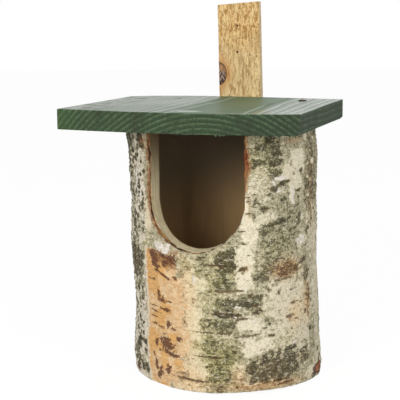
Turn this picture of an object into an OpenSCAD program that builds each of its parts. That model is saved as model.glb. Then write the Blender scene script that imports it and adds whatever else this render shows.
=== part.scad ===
// Open-fronted nest box made from a hollowed birch log.
// A stained board is its roof, and a batten behind it hangs it on a tree or wall.
// Millimetres, +Z up. The opening faces -Y and the batten is at +Y.
// The origin is at the middle of the bore, on the face that the log stands on.

/* [Log] */
// Height of the log
log_height = 211; // [180:1:300]
// Mean radius of the log over its bark
log_radius = 79.5; // [75:0.5:110]
// How far the log swells into a broad oval
oval_swell = 1; // [0:0.1:3]
// Direction of the oval's long side, in degrees
oval_angle = 130; // [0:5:180]
// How far the log swells at each of its three blunt corners
lobe_swell = 1.6; // [0:0.1:3]
// Direction of one of the three blunt corners, in degrees
lobe_angle = 52; // [0:1:120]
// Lean of the log to the left, in degrees
log_lean = 1.6; // [0:0.1:3]
// Thickness of the papery outer bark
outer_bark_thickness = 1.2; // [0.8:0.1:3]
// Thickness of the corky inner bark
inner_bark_thickness = 1.8; // [1:0.1:5]
// How deep the back is planed flat for the batten
seat_depth = 3.5; // [3:0.5:8]

/* [Nest chamber] */
// Radius of the bore that makes the chamber
bore_radius = 60; // [50:0.5:62]
// Half the width of the entrance
entrance_half_width = 41; // [30:0.5:46]
// Offset of the entrance from the log's axis, to the right
entrance_shift = -4; // [-8:0.5:8]
// Height of the lowest point of the entrance above the base
entrance_sill = 115; // [80:1:130]
// Thickness of the floor disc
floor_thickness = 18; // [12:1:25]
// Gap all round the floor disc
floor_gap = 0.3; // [0.2:0.1:0.8]

/* [Roof] */
// Width of the roof board, left to right
roof_width = 200; // [180:1:260]
// Depth of the roof board, front to back
roof_depth = 165; // [150:1:220]
// Thickness of the roof board
roof_thickness = 16.5; // [12:0.5:30]
// Offset of the roof board from the log's axis, to the right
roof_shift = -14; // [-20:1:20]

/* [Batten] */
// Width of the batten
batten_width = 39; // [25:1:60]
// Thickness of the batten
batten_thickness = 9; // [8:0.5:20]
// Offset of the batten from the log's axis at the roof's top, to the right
batten_shift = -8.5; // [-15:0.5:15]
// Lean of the batten to the left, in degrees
batten_lean = 1.2; // [0:0.1:3]
// Height of the batten's foot above the base
batten_foot = 4; // [0:1:40]
// How far the batten rises above the roof
batten_rise = 84.5; // [60:0.5:140]
// Slope of the saw cut across the batten's top, in degrees
batten_top_slope = 4; // [0:0.5:8]
// Radius of the two pilot holes for hanging
pilot_radius = 1.5; // [1:0.1:4]
// Distance between the two pilot holes
pilot_spacing = 23.5; // [15:0.5:40]
// Distance from the batten's top to the upper pilot hole
pilot_from_top = 20; // [8:0.5:30]
// Offset of the pilot holes from the batten's middle at the roof, to the right
pilot_shift = -2.5; // [-6:0.5:6]

/* [Screws] */
// Radius of every screw's shank
shank_radius = 1.7; // [1.2:0.1:2.5]
// Radius of every screw's head
head_radius = 3.5; // [3:0.1:5]
// Depth of every countersunk head
head_depth = 2.2; // [1.5:0.1:3.5]
// Length of every screw's point
point_length = 5; // [2:0.5:8]
// Gap round every screw in its hole
screw_gap = 0.15; // [0.1:0.05:0.4]
// Length of the roof screws
roof_screw_length = 40; // [30:1:60]
// Direction of each roof screw behind its own side, in degrees
roof_screw_angle = 37.5; // [20:0.5:50]
// Distance from the bore's wall to each roof screw's middle
roof_screw_seat = 11.5; // [5:0.5:12]
// Length of the batten screws
batten_screw_length = 22; // [16:1:24]
// Height of the lower batten screw above the base
batten_screw_low = 45; // [30:1:90]
// Distance from the log's top to the upper batten screw
batten_screw_from_top = 36; // [20:1:80]
// Length of the floor screws
floor_screw_length = 40; // [30:1:50]
// How deep the floor screws' heads are sunk in the bark
floor_screw_sink = 0.8; // [0:0.1:2]
// Directions of the floor screws, in degrees from the right-hand side
floor_screw_angles = [0, 128, 212];

/* [Hidden] */
outline_points = 72;
bore_facets = 96;
screw_facets = 32;
// how far a cut runs past the face that it opens
overcut = 1;
bark_thickness = outer_bark_thickness + inner_bark_thickness;
// the plane that the log's planed back, the batten's front and the roof's back edge share
seat_y = log_radius - seat_depth;
entrance_center_z = entrance_sill + entrance_half_width;
roof_z = log_height;
roof_top = roof_z + roof_thickness;
batten_top = roof_top + batten_rise;
batten_back = seat_y + batten_thickness;
pilot_x = batten_shift + pilot_shift;
bark_color = "#d9d0b8";
inner_bark_color = "#8f4a26";
wood_color = "#a8976f";
floor_color = "#b39a6b";
stain_color = "#3d5c3c";
batten_color = "#dcbc80";
screw_color = "#6b4a36";

// how far the leaning batten has moved to the right at one height
function batten_lean_shift(z) = batten_shift + (roof_top - z) * tan(batten_lean);

// distance from the log's axis to its surface in one direction, under a layer of bark
function outline_radius(angle, inset) = log_radius - inset
    + oval_swell * cos(2 * (angle - oval_angle))
    + lobe_swell * cos(3 * (angle - lobe_angle));

function outline(inset) = [for (i = [0 : outline_points - 1])
    let (angle = i * 360 / outline_points)
    outline_radius(angle, inset) * [cos(angle), sin(angle)]];

// how far the leaning log has moved to the right at one height
function lean_shift(z) = (log_height / 2 - z) * tan(log_lean);

// the log under a layer of bark, sawn level at both ends
module log_blank(inset) {
    stock = 3 * log_radius;
    intersection() {
        translate([0, 0, log_height / 2])
            rotate([0, -log_lean, 0])
                linear_extrude(height = log_height + stock / 2, center = true)
                    polygon(outline(inset));
        translate([-stock / 2, -stock / 2, 0])
            cube([stock, stock / 2 + seat_y, log_height]);
    }
}

// round-bottomed opening, from outside the bark to the middle of the bore
module entrance_cut() {
    reach = log_radius + oval_swell + lobe_swell + overcut;
    translate([entrance_shift, 0, entrance_center_z])
        rotate([90, 0, 0])
            cylinder(r = entrance_half_width, h = reach, $fn = bore_facets);
    translate([entrance_shift - entrance_half_width, -reach, entrance_center_z])
        cube([2 * entrance_half_width, reach, log_height - entrance_center_z + overcut]);
}

// countersunk screw with its head's face on z = 0 and its point down
module screw_shape(length, grow = 0) {
    rotate_extrude($fn = screw_facets)
        polygon([[0, 0], [head_radius + grow, 0], [shank_radius + grow, -head_depth - grow],
            [shank_radius + grow, point_length - length - grow], [0, -length - grow]]);
}

// the room that a screw and the tool that drives it take up
module screw_cut(length, clear) {
    screw_shape(length, screw_gap);
    cylinder(r = head_radius + screw_gap, h = clear, $fn = screw_facets);
}

module place_roof_screw(side) {
    reach = bore_radius + roof_screw_seat;
    translate([side * reach * cos(roof_screw_angle), reach * sin(roof_screw_angle), roof_top])
        children();
}

module place_batten_screw(z) {
    translate([batten_lean_shift(z), batten_back, z]) rotate([-90, 0, 0]) children();
}

module place_floor_screw(angle) {
    z = floor_thickness / 2;
    head = outline_radius(angle, floor_screw_sink) + lean_shift(z) * cos(angle);
    rotate([0, 0, angle]) translate([head, 0, z]) rotate([0, 90, 0]) children();
}

module roof_screw_cuts() {
    for (side = [-1, 1]) place_roof_screw(side) screw_cut(roof_screw_length, overcut);
}

module batten_screw_cuts() {
    for (z = [batten_screw_low, log_height - batten_screw_from_top])
        place_batten_screw(z) screw_cut(batten_screw_length, overcut);
}

module floor_screw_cuts() {
    for (angle = floor_screw_angles)
        place_floor_screw(angle) screw_cut(floor_screw_length, floor_screw_sink + 2 * overcut);
}

// ring between two depths below the log's surface, open at the entrance
module bark_ring(outer_inset, inner_inset) {
    difference() {
        log_blank(outer_inset);
        translate([0, 0, log_height / 2])
            rotate([0, -log_lean, 0])
                linear_extrude(height = log_height * 2, center = true)
                    polygon(outline(inner_inset));
        entrance_cut();
        roof_screw_cuts();
        batten_screw_cuts();
        floor_screw_cuts();
    }
}

module log_wall() {
    color(wood_color)
        difference() {
            log_blank(bark_thickness);
            translate([0, 0, -overcut])
                cylinder(r = bore_radius, h = log_height + 2 * overcut, $fn = bore_facets);
            entrance_cut();
            roof_screw_cuts();
            batten_screw_cuts();
            floor_screw_cuts();
        }
}

module inner_bark() {
    color(inner_bark_color) bark_ring(outer_bark_thickness, bark_thickness);
}

module outer_bark() {
    color(bark_color) bark_ring(0, outer_bark_thickness);
}

module floor_disc() {
    color(floor_color)
        difference() {
            cylinder(r = bore_radius - floor_gap, h = floor_thickness, $fn = bore_facets);
            floor_screw_cuts();
        }
}

module roof_board() {
    color(stain_color)
        difference() {
            translate([roof_shift - roof_width / 2, seat_y - roof_depth, roof_z])
                cube([roof_width, roof_depth, roof_thickness]);
            roof_screw_cuts();
        }
}

module batten() {
    half_width = batten_width / 2;
    half_drop = half_width * tan(batten_top_slope);
    foot_x = batten_lean_shift(batten_foot);
    top_x = batten_lean_shift(batten_top);
    color(batten_color)
        difference() {
            translate([0, batten_back, 0])
                rotate([90, 0, 0])
                    linear_extrude(height = batten_thickness)
                        polygon([[foot_x - half_width, batten_foot],
                            [foot_x + half_width, batten_foot],
                            [top_x + half_width, batten_top + half_drop],
                            [top_x - half_width, batten_top - half_drop]]);
            for (drop = [pilot_from_top, pilot_from_top + pilot_spacing])
                translate([pilot_x, seat_y - overcut, batten_top - drop])
                    rotate([-90, 0, 0])
                        cylinder(r = pilot_radius, h = batten_thickness + 2 * overcut,
                            $fn = screw_facets);
            batten_screw_cuts();
        }
}

module roof_screw(side) {
    color(screw_color) place_roof_screw(side) screw_shape(roof_screw_length);
}

module batten_screw(z) {
    color(screw_color) place_batten_screw(z) screw_shape(batten_screw_length);
}

module floor_screw(index) {
    color(screw_color)
        place_floor_screw(floor_screw_angles[index]) screw_shape(floor_screw_length);
}

log_wall();
inner_bark();
outer_bark();
floor_disc();
roof_board();
batten();
roof_screw(1);  // roof_screw_right
roof_screw(-1);  // roof_screw_left
batten_screw(log_height - batten_screw_from_top);  // batten_screw_upper
batten_screw(batten_screw_low);  // batten_screw_lower
floor_screw(0);  // floor_screw_right
floor_screw(1);  // floor_screw_back
floor_screw(2);  // floor_screw_left
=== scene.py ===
import bpy
import math
import random
import numpy as np
from mathutils import Matrix, Vector, noise


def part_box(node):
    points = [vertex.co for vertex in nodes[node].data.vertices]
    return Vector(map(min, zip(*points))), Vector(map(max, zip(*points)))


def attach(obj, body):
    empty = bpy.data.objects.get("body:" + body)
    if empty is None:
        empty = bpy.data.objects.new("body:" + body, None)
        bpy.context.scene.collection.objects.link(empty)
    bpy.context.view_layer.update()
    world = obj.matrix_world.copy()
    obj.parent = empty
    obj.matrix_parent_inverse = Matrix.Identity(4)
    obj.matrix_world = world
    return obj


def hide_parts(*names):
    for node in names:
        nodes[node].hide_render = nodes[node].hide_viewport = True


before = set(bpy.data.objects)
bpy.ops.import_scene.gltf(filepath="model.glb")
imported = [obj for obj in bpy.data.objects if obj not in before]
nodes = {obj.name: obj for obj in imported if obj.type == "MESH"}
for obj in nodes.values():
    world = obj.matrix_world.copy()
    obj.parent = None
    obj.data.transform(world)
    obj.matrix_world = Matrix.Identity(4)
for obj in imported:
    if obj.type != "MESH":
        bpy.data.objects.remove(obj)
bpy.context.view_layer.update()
mm = 0.001

# places that the frame gives
roofLow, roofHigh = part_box("roof_board")
battenLow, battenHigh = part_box("batten")
floorLow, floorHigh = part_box("floor_disc")
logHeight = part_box("log_wall")[1].z
seatY = battenLow.y  # the log's planed back, against the batten


# tools for meshes

def selectOnly(piece):
    bpy.ops.object.select_all(action="DESELECT")
    piece.select_set(True)
    bpy.context.view_layer.objects.active = piece


def editMode(kind="VERT"):
    bpy.context.tool_settings.mesh_select_mode = [kind == name for name in ("VERT", "EDGE", "FACE")]
    bpy.ops.object.mode_set(mode="EDIT")


def objectMode():
    bpy.ops.object.mode_set(mode="OBJECT")


def openAll(piece, kind="VERT"):
    # edit mode, with all of the piece selected
    selectOnly(piece)
    editMode(kind)
    bpy.ops.mesh.select_all(action="SELECT")


def openFaces(piece, chosen):
    # edit mode, with the chosen faces selected
    openAll(piece, "FACE")
    bpy.ops.mesh.select_all(action="DESELECT")
    objectMode()
    piece.data.polygons.foreach_set("select", chosen)
    editMode("FACE")


def getPoints(piece):
    points = np.empty(len(piece.data.vertices) * 3)
    piece.data.vertices.foreach_get("co", points)
    return points.reshape(-1, 3)


def setPoints(piece, points):
    piece.data.vertices.foreach_set("co", points.ravel())
    piece.data.update()


def wholeNumbers(items, name, each=1):
    values = np.empty(len(items) * each, dtype=np.int64)
    items.foreach_get(name, values)
    return values


def stacked(x, y, z):
    return np.stack(np.broadcast_arrays(x, y, z), axis=1)


def around(angle, radius, height):
    return stacked(radius * np.cos(angle), radius * np.sin(angle), height)


def addPrimitive(addMesh, **settings):
    bpy.ops.object.select_all(action="DESELECT")
    addMesh(**settings)
    return bpy.context.object


def newGrid(name, columns, rows):
    piece = addPrimitive(bpy.ops.mesh.primitive_grid_add, x_subdivisions=columns, y_subdivisions=rows, size=1)
    piece.name = piece.data.name = name
    return piece


def newTube(name, columns, profile):
    # a grid to be rolled round an axis: each point's row and angle, and its place on the profile
    profile = np.array(profile)
    piece = newGrid(name, columns, len(profile) - 1)
    flat = getPoints(piece)
    row = np.rint((flat[:, 1] + 0.5) * (len(profile) - 1)).astype(int)
    return piece, row, flat[:, 0] * math.tau, profile[row, 0], profile[row, 1]


def mergeClose(piece, distance=0.01 * mm):
    openAll(piece)
    bpy.ops.mesh.remove_doubles(threshold=distance)
    objectMode()


def faceOutwards(piece):
    openAll(piece, "FACE")
    bpy.ops.mesh.normals_make_consistent(inside=False)
    objectMode()


def planeSeat(piece):
    # saws off what lies behind the batten's seat, and closes the cut
    openAll(piece)
    bpy.ops.mesh.bisect(plane_co=(0, seatY, 0), plane_no=(0, 1, 0), clear_outer=True, use_fill=True)
    objectMode()


def applyModifier(piece, kind, **settings):
    selectOnly(piece)
    modifier = piece.modifiers.new(kind.title(), kind)
    for name, value in settings.items():
        setattr(modifier, name, value)
    bpy.ops.object.modifier_apply(modifier=modifier.name)


def cutWith(piece, cutter):
    applyModifier(piece, "BOOLEAN", operation="DIFFERENCE", solver="EXACT", object=cutter)
    bpy.data.objects.remove(cutter)


def makeBoard(piece, move, layers, bevel):
    # gives a flat grid its thickness, a layer at a time, and breaks its edges
    openAll(piece, "FACE")
    for _ in range(layers):
        bpy.ops.mesh.extrude_region_move(TRANSFORM_OT_translate={"value": move})
    objectMode()
    faceOutwards(piece)
    applyModifier(piece, "BEVEL", width=bevel, segments=2, limit_method="ANGLE", angle_limit=math.radians(60))


def smooth(piece, degrees=40):
    selectOnly(piece)
    bpy.ops.object.shade_smooth_by_angle(angle=math.radians(degrees))


def keep(piece, **attributes):
    # values of 0 to 1 at a piece's points, which its material reads
    for name, values in attributes.items():
        data = piece.data.attributes.new(name, "FLOAT", "POINT").data
        data.foreach_set("value", np.ascontiguousarray(np.clip(values, 0, 1), dtype=np.float32))


def finishPiece(piece, material, slotName, *cadNodes):
    piece.data.materials.clear()
    piece.data.materials.append(material)
    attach(piece, "root")
    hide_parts(*cadNodes)


def fuzz(points, size, seed, octaves=3, along=1.0):
    # smooth noise of about -1 to 1, with features of one size, longer along Z
    scale = (1 / size, 1 / size, 1 / (size * along))
    shift = Vector((seed * 7.3, seed * 3.1, seed * 5.7))
    scaled = (points * np.array(scale)).tolist()
    return np.array([noise.fractal(Vector(p) + shift, 1.0, 2.0, octaves) for p in scaled])


def step(low, high, value):
    t = np.clip((value - low) / (high - low), 0, 1)
    return t * t * (3 - 2 * t)


# tools for materials: values, vectors and shades are sockets or plain values

def linearShade(code):
    # a screen colour such as "c8a070" as the renderer's linear values
    def linear(c):
        return c / 12.92 if c <= 0.04045 else ((c + 0.055) / 1.055) ** 2.4
    return (*(linear(int(code[i:i + 2], 16) / 255) for i in (0, 2, 4)), 1)


def feed(socket, value):
    if isinstance(value, bpy.types.NodeSocket):
        socket.id_data.links.new(value, socket)
    else:
        socket.default_value = linearShade(value) if isinstance(value, str) else value


def newNode(kind, inputs, tree=None, **settings):
    # goes where the sockets among its inputs are, if no tree is given
    if tree is None:
        tree = next(value.id_data for value in inputs.values() if isinstance(value, bpy.types.NodeSocket))
    node = tree.nodes.new("ShaderNode" + kind)
    for name, value in settings.items():
        setattr(node, name, value)
    for name, value in inputs.items():
        feed(node.inputs[name], value)
    return node


def calc(operation, *values, clamp=False):
    return newNode("Math", dict(enumerate(values)), operation=operation, use_clamp=clamp).outputs[0]


def plus(first, *others):
    for other in others:
        first = calc("ADD", first, other)
    return first


def times(first, *others):
    for other in others:
        first = calc("MULTIPLY", first, other)
    return first


def minus(first, other):
    return calc("SUBTRACT", first, other)


def ratio(first, other):
    return calc("DIVIDE", first, other)


def timesPlus(first, factor, more):
    return calc("MULTIPLY_ADD", first, factor, more)


def stirred(value, noiseValue, amount, clamp=False):
    # a value moved up and down by noise
    return calc("MULTIPLY_ADD", minus(noiseValue, 0.5), amount, value, clamp=clamp)


def distanceOf(across, up):
    return calc("SQRT", plus(times(across, across), times(up, up)))


def alongOf(vector, direction):
    return newNode("VectorMath", {0: vector, 1: direction}, operation="DOT_PRODUCT").outputs["Value"]


def partsOf(vector):
    return newNode("SeparateXYZ", {0: vector}).outputs


def blend(amount, a, b):
    return newNode("Mix", {0: amount, 6: a, 7: b}, data_type="RGBA").outputs[2]


def layered(base, *layers):
    # shades laid over each other, each through its own mask
    for mask, shade in layers:
        base = blend(mask, base, shade)
    return base


def spread(value, fromLow, fromHigh, toLow, toHigh):
    # runs softly from one level to another between two values
    inputs = dict(enumerate((value, fromLow, fromHigh, toLow, toHigh)))
    return newNode("MapRange", inputs, interpolation_type="SMOOTHSTEP").outputs[0]


def fade(value, none, full, strength=1.0):
    # a mask that fades in between two values
    return spread(value, none, full, 0.0, strength)


def ragged(value, noiseValue, amount, soft):
    # a mask with a crisp, ragged edge from a value that is 0.5 on the outline
    return fade(stirred(value, noiseValue, amount), 0.5 - soft, 0.5 + soft)


def place(vector, scale=(1, 1, 1), location=(0, 0, 0), rotation=(0, 0, 0)):
    inputs = {"Vector": vector, "Scale": scale, "Location": location, "Rotation": rotation}
    return newNode("Mapping", inputs).outputs[0]


def speckle(vector, size, detail=4.0, rough=0.55, twist=0.0, **placing):
    # noise with features of about one size in mm
    if placing:
        vector = place(vector, **placing)
    inputs = {"Vector": vector, "Scale": 0.5 / (size * mm), "Detail": detail, "Roughness": rough,
              "Distortion": twist}
    return newNode("TexNoise", inputs).outputs[0]


def crazing(vector, size, shake, amount):
    # how far a point lies from the edge of its cell, among cells of one size in mm with wavy edges
    wave = newNode("TexNoise", {"Vector": vector, "Scale": 0.5 / (shake * mm)}).outputs["Color"]
    far = amount * mm
    wavy = newNode("VectorMath", {0: wave, 1: (far, far, far), 2: vector}, operation="MULTIPLY_ADD")
    inputs = {"Vector": wavy.outputs["Vector"], "Scale": 1 / (size * mm)}
    return newNode("TexVoronoi", inputs, feature="DISTANCE_TO_EDGE").outputs["Distance"]


def toneOf(value, levels, shades):
    # a shade for each level, blended between
    node = newNode("ValToRGB", {0: value})
    ramp = node.color_ramp
    while len(ramp.elements) < len(shades):
        ramp.elements.new(0.5)
    for element, level, shade in zip(ramp.elements, levels, shades):
        element.position = level
        element.color = linearShade(shade)
    return node.outputs[0]


def newMaterial(name):
    material = bpy.data.materials.new(name)
    material.use_nodes = True
    tree = material.node_tree
    return material, tree, tree.nodes["Principled BSDF"], newNode("TexCoord", {}, tree).outputs["Object"]


def valueOf(tree, name):
    return newNode("Attribute", {}, tree, attribute_name=name).outputs["Fac"]


def dress(shader, base, roughness, relief, distance, strength):
    # the shader's colour and roughness, and a bump of some depth
    feed(shader.inputs["Base Color"], base)
    feed(shader.inputs["Roughness"], roughness)
    bump = newNode("Bump", {"Height": relief, "Distance": distance, "Strength": strength})
    feed(shader.inputs["Normal"], bump.outputs[0])


def newGroup(name, numbers, outputs):
    # a node group that takes a vector and some numbers, and gives values
    group = bpy.data.node_groups.new(name, "ShaderNodeTree")
    group.interface.new_socket("Vector", in_out="INPUT", socket_type="NodeSocketVector")
    for label, default in numbers.items():
        socket = group.interface.new_socket(label, in_out="INPUT", socket_type="NodeSocketFloat")
        socket.default_value = default
    for label in outputs:
        group.interface.new_socket(label, in_out="OUTPUT", socket_type="NodeSocketFloat")
    return group, group.nodes.new("NodeGroupInput").outputs, group.nodes.new("NodeGroupOutput").inputs


def useGroup(group, **values):
    return newNode("Group", values, node_tree=group).outputs


def makeMottle():
    # patches that cover a given share of the surface
    group, given, out = newGroup("mottle", {"Scale": 100.0, "Cover": 0.5, "Soft": 0.1}, ["Mask"])
    inputs = {"Vector": given["Vector"], "Scale": given["Scale"], "Detail": 8, "Roughness": 0.7}
    over = minus(newNode("TexNoise", inputs).outputs[0], timesPlus(given["Cover"], -0.5, 0.75))
    feed(out["Mask"], calc("ADD", ratio(over, given["Soft"]), 0.5, clamp=True))
    return group


def makeWoodGrain():
    # year rings round an axis along Z, and fibres along it
    group, given, out = newGroup("wood grain", {"Spacing": 4 * mm, "Wobble": 2 * mm}, ["Line", "Fibre"])
    where = given["Vector"]
    x, y = partsOf(where)[:2]
    bent = stirred(distanceOf(x, y), speckle(where, 30, detail=3, scale=(1, 1, 0.25)), given["Wobble"])
    uneven = speckle(where, 1, detail=0, scale=(0.02, 0.02, 0.02), location=(3, 1, 2))
    ring = calc("FRACT", plus(ratio(bent, given["Spacing"]), uneven))
    feed(out["Line"], times(fade(ring, 0.45, 0.86), fade(ring, 1.0, 0.9)))
    feed(out["Fibre"], speckle(where, 0.7, detail=3, rough=0.7, scale=(1, 1, 0.05)))
    return group


mottle = makeMottle()
woodGrain = makeWoodGrain()

# the log

log = {
    "radius": 79.5 * mm,
    "oval": (2, 1.0 * mm, 130),  # how many swells there are all round, how far, and where one is
    "lobes": (3, 1.6 * mm, 52),
    "lean": 1.6,
    "bore": 60 * mm,
    "outerBark": 1.2 * mm,
    "innerBark": 1.8 * mm,
    # swellings: direction, height, spread in degrees, spread in height, how far
    "swellings": [
        (200, 16, 40, 22, 2.2), (200, 204, 40, 9, 1.6), (200, 56, 30, 22, -1.1), (200, 112, 30, 20, 0.8),
        (200, 147, 25, 9, -0.9), (14, 96, 32, 20, -1.2), (14, 183, 30, 17, 1.4), (14, 14, 22, 16, 1.0),
        (-4, 4, 12, 9, 2.0), (-60, 20, 30, 30, 0.6), (100, 60, 35, 40, 1.0), (60, 150, 30, 30, -0.9),
        (-90, 60, 30, 30, 0.6)],
    "footLift": (2.6 * mm, -58, 30),  # the saw ran off at the foot: how high, in which direction, how wide
    "footLiftTop": 24 * mm,
    "frontShare": 0.3,  # how much closer together the sheets' columns are in front
    "pullReach": 4 * mm,  # how near the cut edge has to be, to be pulled onto the entrance's outline
    "noiseRadius": 80,  # the barks' noise is taken on a round log of this radius in mm
}
entrance = {
    "centre": -4 * mm,
    "half": 41 * mm,
    "arcHeight": 156 * mm,
    # where the bark is torn along its sides: from where to where it grows, across and upwards
    "tornLeft": ((-24 * mm, -36 * mm), (118 * mm, 142 * mm)),
    "tornRight": ((20 * mm, 30 * mm), (155 * mm, 170 * mm)),
    "notch": (186 * mm, 13 * mm),  # in the right side: height and half height
}
barkThickness = log["outerBark"] + log["innerBark"]
floorScrews = {"floor_screw_right": 0, "floor_screw_back": 128, "floor_screw_left": 212}
floorScrewHeight = (floorLow.z + floorHigh.z) / 2


def turnFrom(angle, toward):
    # degrees from a direction, between -180 and 180
    return (np.degrees(angle) - toward + 180) % 360 - 180


def logRadius(angle, height):
    radius = log["radius"]
    for count, far, toward in (log["oval"], log["lobes"]):
        radius = radius + far * np.cos(count * (angle - math.radians(toward)))
    for toward, middle, wide, tall, far in log["swellings"]:
        high = (height / mm - middle) / tall
        radius = radius + far * mm * np.exp(-(turnFrom(angle, toward) / wide) ** 2 - high ** 2)
    return radius


def liftFoot(angle, height, share=1.0):
    # the foot's edge is a little higher on one side
    far, toward, wide = log["footLift"]
    fading = np.clip(1 - height / log["footLiftTop"], 0, 1) ** 2
    return height + share * far * np.exp(-(turnFrom(angle, toward) / wide) ** 2) * fading


def leanShift(height):
    return (logHeight / 2 - height) * math.tan(math.radians(log["lean"]))


def fromArc(x, z):
    # how far a point lies beside the entrance's middle, and below the middle of its arc
    return x - entrance["centre"], np.minimum(z - entrance["arcHeight"], 0)


def entranceGap(x, z):
    # how far a point of the front lies outside the entrance
    return np.hypot(*fromArc(x, z)) - entrance["half"]


def edgePoints(mesh):
    # the corners along the open edges of a sheet
    ends = wholeNumbers(mesh.edges, "vertices", 2).reshape(-1, 2)
    faces = np.bincount(wholeNumbers(mesh.loops, "edge_index"), minlength=len(mesh.edges))
    return np.unique(ends[faces == 1])


def wrapSheet(name, columns, rows, depth, setBack):
    # a sheet rolled round the log, finest in front, with the entrance cut out of it
    piece = newGrid(name, columns, rows)
    flat = getPoints(piece)
    turn = flat[:, 0] * math.tau
    turn = turn - log["frontShare"] * np.sin(turn) - math.pi / 2
    setPoints(piece, around(turn, 1, (flat[:, 1] + 0.5) * logHeight))
    mergeClose(piece)

    def read():
        x, y, height = getPoints(piece).T
        return np.arctan2(y, x), height

    def gapAt(x, z):
        return entranceGap(x, z) - setBack(x, z)

    angle, height = read()
    x = (logRadius(angle, height) - depth) * np.cos(angle) + leanShift(height)
    gap = np.where(np.sin(angle) < 0, gapAt(x, height), 1)
    corners = wholeNumbers(piece.data.loops, "vertex_index").reshape(-1, 4)
    openFaces(piece, gap[corners].mean(axis=1) < 0)
    bpy.ops.mesh.delete(type="FACE")
    objectMode()

    # the cut edge is pulled onto the entrance's outline
    angle, height = read()
    edge = edgePoints(piece.data)
    edge = edge[(np.sin(angle[edge]) < 0) & (height[edge] > mm)]
    radius = logRadius(angle[edge], height[edge]) - depth
    x = radius * np.cos(angle[edge]) + leanShift(height[edge])
    near = np.abs(gapAt(x, height[edge])) < log["pullReach"]
    edge, radius, x = edge[near], radius[near], x[near]
    z = height[edge].copy()
    top = z > logHeight - 0.01 * mm
    for _ in range(4):
        gap = gapAt(x, z)
        aside, below = fromArc(x, z)
        below = np.where(top, 0, below)
        length = np.hypot(aside, below)
        x = x - gap * aside / length
        z = z - gap * below / length
    angle[edge] = -np.arccos(np.clip((x - leanShift(z)) / radius, -1, 1))
    height[edge] = z
    return piece, angle, height


def rollOut(piece, angle, height, radius):
    points = around(angle, radius, liftFoot(angle, height))
    points[:, 0] += leanShift(height)
    setPoints(piece, points)


def closeSheet(piece, thickness, share):
    # gives the sheet its thickness and thins out the side that nobody sees
    piece.vertex_groups.new(name="hidden")
    applyModifier(piece, "SOLIDIFY", thickness=thickness, offset=-1, shell_vertex_group="hidden")
    points = getPoints(piece)
    points[:, 2] = np.clip(points[:, 2], 0, logHeight)
    setPoints(piece, points)
    planeSeat(piece)
    applyModifier(piece, "DECIMATE", ratio=share, vertex_group="hidden")
    faceOutwards(piece)
    smooth(piece, 60)


def layOut(angle, height, row):
    # how far each point lies from a spot's middle, as a share of the spot's half size
    toward, middle, wide, tall, tilt = row
    aside = turnFrom(angle, toward) * math.radians(log["radius"] / mm)
    above = height / mm - middle
    lean = math.radians(tilt)
    along = aside * math.cos(lean) + above * math.sin(lean)
    across = above * math.cos(lean) - aside * math.sin(lean)
    return np.hypot(along / wide, across / tall)


def outlined(angle, height, rows):
    # 1 at the middle of a spot, 0.5 on its outline, 0 well outside
    result = np.zeros(len(angle))
    for row in rows:
        result = np.maximum(result, 1 - layOut(angle, height, row) / 2)
    return result


def painted(angle, height, rows, level, raggedness):
    # each spot lays its own level over what is there already
    for *spot, own in rows:
        cover = step(0.4, 0.6, 1 - layOut(angle, height, spot) / 2 + raggedness)
        level = level + (own - level) * cover
    return level


def softened(angle, height, rows):
    # spots that fade out, each with its own strength, added up
    result = np.zeros(len(angle))
    for *row, strength in rows:
        result = result + strength * np.exp(-layOut(angle, height, (*row, 0)) ** 2)
    return result


# the barks

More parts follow.
